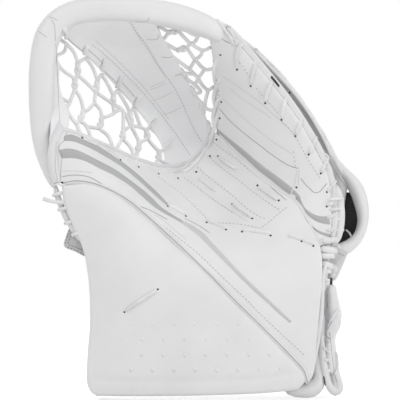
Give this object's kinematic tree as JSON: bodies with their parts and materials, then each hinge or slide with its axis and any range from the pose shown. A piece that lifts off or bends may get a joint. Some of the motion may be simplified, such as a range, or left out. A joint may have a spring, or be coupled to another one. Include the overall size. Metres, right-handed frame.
{
  "type": "hockey goalie catch glove",
  "caption": "Ice hockey goalie catch glove for the left hand: padded one-piece cuff, laced T-shaped pocket, finger stalls, backhand pad and wrist straps.",
  "frame": {"origin": "in the middle of the wrist opening, level with the cuff's lower edge, on which the glove stands", "axes": "+Z from the cuff's lower edge up to the T of the pocket; -Y out of the catching side; -X to the thumb and +X to the little finger"},
  "size_m": [0.2905, 0.1586, 0.346],
  "materials": {
    "front_leather": "satin, fine grain",
    "back_leather": "satin, fine grain",
    "palm_leather": "satin, soft",
    "band_leather": "satin",
    "edge_binding": "satin",
    "foam": "matt, covered foam",
    "liner": "matt, brushed",
    "cuff_lining": "matt spacer knit",
    "stall_lining": "matt, brushed",
    "lace": "waxed braid",
    "webbing": "ribbed weave",
    "hook_tape": "matt pile",
    "mesh": "open knit",
    "ring": "gloss"
  },
  "bodies": {
    "cuff_thumb": {"cuff_panel": "front_leather", "cuff_foam": "foam", "wing_panel": "front_leather", "wing_foam": "foam", "cuff_liner": "cuff_lining", "cuff_hem": "edge_binding", "thumb_panel": "front_leather", "thumb_foam": "foam", "thumb_tip_cap": "edge_binding", "thumb_back_guard": "back_leather", "thumb_stall": "stall_lining", "palm": "palm_leather", "palm_liner": "liner", "t_stem": "palm_leather", "t_stem_back": "palm_leather", "t_band_thumb": "band_leather", "thumb_web_lace": "lace", "thumb_edge_lace": "lace", "palm_lace": "lace", "cuff_tie": "lace", "wrist_strap_tab": "webbing", "thumb_side_wall": "back_leather", "liner_tail_roll": "cuff_lining"},
    "finger_side": {"finger_panel": "front_leather", "finger_foam": "foam", "finger_gusset": "edge_binding", "finger_edge_roll": "edge_binding", "t_band_finger": "band_leather", "finger_web_lace": "lace", "finger_edge_lace": "lace", "finger_stall_index": "stall_lining", "finger_stall_middle": "stall_lining", "finger_stall_ring": "stall_lining", "finger_stall_little": "stall_lining"},
    "backhand": {"backhand_pad": "back_leather", "backhand_liner": "liner", "wrist_mesh": "mesh", "wrist_guard_roll": "back_leather", "heel_strap": "webbing"},
    "strap_ring": {"strap_ring": "ring"},
    "wrist_strap": {"wrist_strap": "webbing", "wrist_strap_hook": "hook_tape"},
    "side_pad": {"side_pad": "back_leather", "tongue_strap": "webbing"},
    "cuff_strap": {"cuff_strap": "webbing", "cuff_strap_hook": "hook_tape"}
  },
  "joints": [
    {"name": "close_glove", "type": "hinge", "parent": "cuff_thumb", "child": "finger_side", "pos_m": [0.103, -0.046, 0.128], "axis": [0.6463, 0.0489, -0.7615], "range_deg": [0, 30], "stiffness_Nm_per_rad": 2},
    {"name": "backhand_open", "type": "hinge", "parent": "finger_side", "child": "backhand", "pos_m": [0.078, 0.013, 0.2675], "axis": [0.6376, 0, -0.7704], "range_deg": [0, 25], "stiffness_Nm_per_rad": 0.5},
    {"name": "ring_swing", "type": "hinge", "parent": "backhand", "child": "strap_ring", "pos_m": [0.114, -0.0024, 0.109], "axis": [0, 1, 0], "range_deg": [-25, 25]},
    {"name": "wrist_strap_open", "type": "hinge", "parent": "cuff_thumb", "child": "wrist_strap", "pos_m": [-0.101, -0.037, 0.135], "axis": [0, 0, 1], "range_deg": [0, 100]},
    {"name": "side_pad_flex", "type": "hinge", "parent": "cuff_thumb", "child": "side_pad", "pos_m": [0.1055, -0.03, 0.047], "axis": [0, 0, -1], "range_deg": [0, 20], "stiffness_Nm_per_rad": 0.3},
    {"name": "cuff_strap_open", "type": "hinge", "parent": "side_pad", "child": "cuff_strap", "pos_m": [0.107, 0.0745, 0.051], "axis": [0, 0, -1], "range_deg": [0, 110]}
  ]
}
